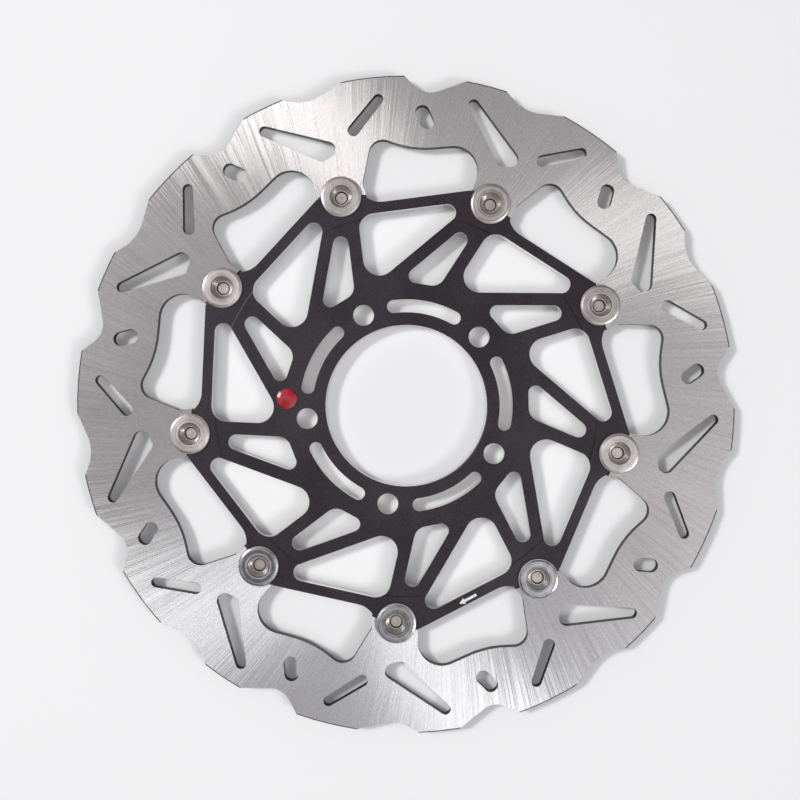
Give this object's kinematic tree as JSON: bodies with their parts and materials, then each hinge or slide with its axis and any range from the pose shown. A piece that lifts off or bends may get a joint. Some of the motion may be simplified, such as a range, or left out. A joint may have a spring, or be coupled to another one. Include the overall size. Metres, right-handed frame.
{
  "type": "brake disc rotor",
  "caption": "Floating motorcycle brake disc: a waved steel ring with slots rides on bobbins in a spoked aluminium carrier with a centring bore and a bolt circle.",
  "frame": {"origin": "centre of the bore in the plane of the rear mounting pad", "axes": "+Z along the wheel axis out of the wheel, towards the bobbin flanges; +X through the first bobbin and the first bolt hole"},
  "size_m": [0.3192, 0.32, 0.0108],
  "materials": {
    "ring": "ground",
    "carrier": "black anodised, satin",
    "bobbin": "turned",
    "spring": "spring steel",
    "washer": "plain",
    "clip": "phosphated",
    "badge": "domed resin"
  },
  "bodies": {
    "carrier": {"carrier": "carrier", "badge": "badge"},
    "ring": {"brake_ring": "ring"},
    "bobbin_set_1": {"bobbin_1": "bobbin", "spring_washer_1": "spring", "flat_washer_1": "washer", "retaining_ring_1": "clip"},
    "bobbin_set_2": {"bobbin_2": "bobbin", "spring_washer_2": "spring", "flat_washer_2": "washer", "retaining_ring_2": "clip"},
    "bobbin_set_3": {"bobbin_3": "bobbin", "spring_washer_3": "spring", "flat_washer_3": "washer", "retaining_ring_3": "clip"},
    "bobbin_set_4": {"bobbin_4": "bobbin", "spring_washer_4": "spring", "flat_washer_4": "washer", "retaining_ring_4": "clip"},
    "bobbin_set_5": {"bobbin_5": "bobbin", "spring_washer_5": "spring", "flat_washer_5": "washer", "retaining_ring_5": "clip"},
    "bobbin_set_6": {"bobbin_6": "bobbin", "spring_washer_6": "spring", "flat_washer_6": "washer", "retaining_ring_6": "clip"},
    "bobbin_set_7": {"bobbin_7": "bobbin", "spring_washer_7": "spring", "flat_washer_7": "washer", "retaining_ring_7": "clip"},
    "bobbin_set_8": {"bobbin_8": "bobbin", "spring_washer_8": "spring", "flat_washer_8": "washer", "retaining_ring_8": "clip"},
    "bobbin_set_9": {"bobbin_9": "bobbin", "spring_washer_9": "spring", "flat_washer_9": "washer", "retaining_ring_9": "clip"}
  },
  "joints": [
    {"name": "ring_float", "type": "slide", "parent": "carrier", "child": "ring", "axis": [0, 0, 1], "range_m": [0, 0.0004]},
    {"name": "bobbin_spin_1", "type": "hinge", "parent": "carrier", "child": "bobbin_set_1", "pos_m": [0.106, 0, 0.00629], "axis": [0, 0, 1], "continuous": true},
    {"name": "bobbin_spin_2", "type": "hinge", "parent": "carrier", "child": "bobbin_set_2", "pos_m": [0.0812, 0.06814, 0.00629], "axis": [0, 0, 1], "continuous": true},
    {"name": "bobbin_spin_3", "type": "hinge", "parent": "carrier", "child": "bobbin_set_3", "pos_m": [0.01841, 0.10439, 0.00629], "axis": [0, 0, 1], "continuous": true},
    {"name": "bobbin_spin_4", "type": "hinge", "parent": "carrier", "child": "bobbin_set_4", "pos_m": [-0.053, 0.0918, 0.00629], "axis": [0, 0, 1], "continuous": true},
    {"name": "bobbin_spin_5", "type": "hinge", "parent": "carrier", "child": "bobbin_set_5", "pos_m": [-0.09961, 0.03625, 0.00629], "axis": [0, 0, 1], "continuous": true},
    {"name": "bobbin_spin_6", "type": "hinge", "parent": "carrier", "child": "bobbin_set_6", "pos_m": [-0.09961, -0.03625, 0.00629], "axis": [0, 0, 1], "continuous": true},
    {"name": "bobbin_spin_7", "type": "hinge", "parent": "carrier", "child": "bobbin_set_7", "pos_m": [-0.053, -0.0918, 0.00629], "axis": [0, 0, 1], "continuous": true},
    {"name": "bobbin_spin_8", "type": "hinge", "parent": "carrier", "child": "bobbin_set_8", "pos_m": [0.01841, -0.10439, 0.00629], "axis": [0, 0, 1], "continuous": true},
    {"name": "bobbin_spin_9", "type": "hinge", "parent": "carrier", "child": "bobbin_set_9", "pos_m": [0.0812, -0.06814, 0.00629], "axis": [0, 0, 1], "continuous": true}
  ]
}
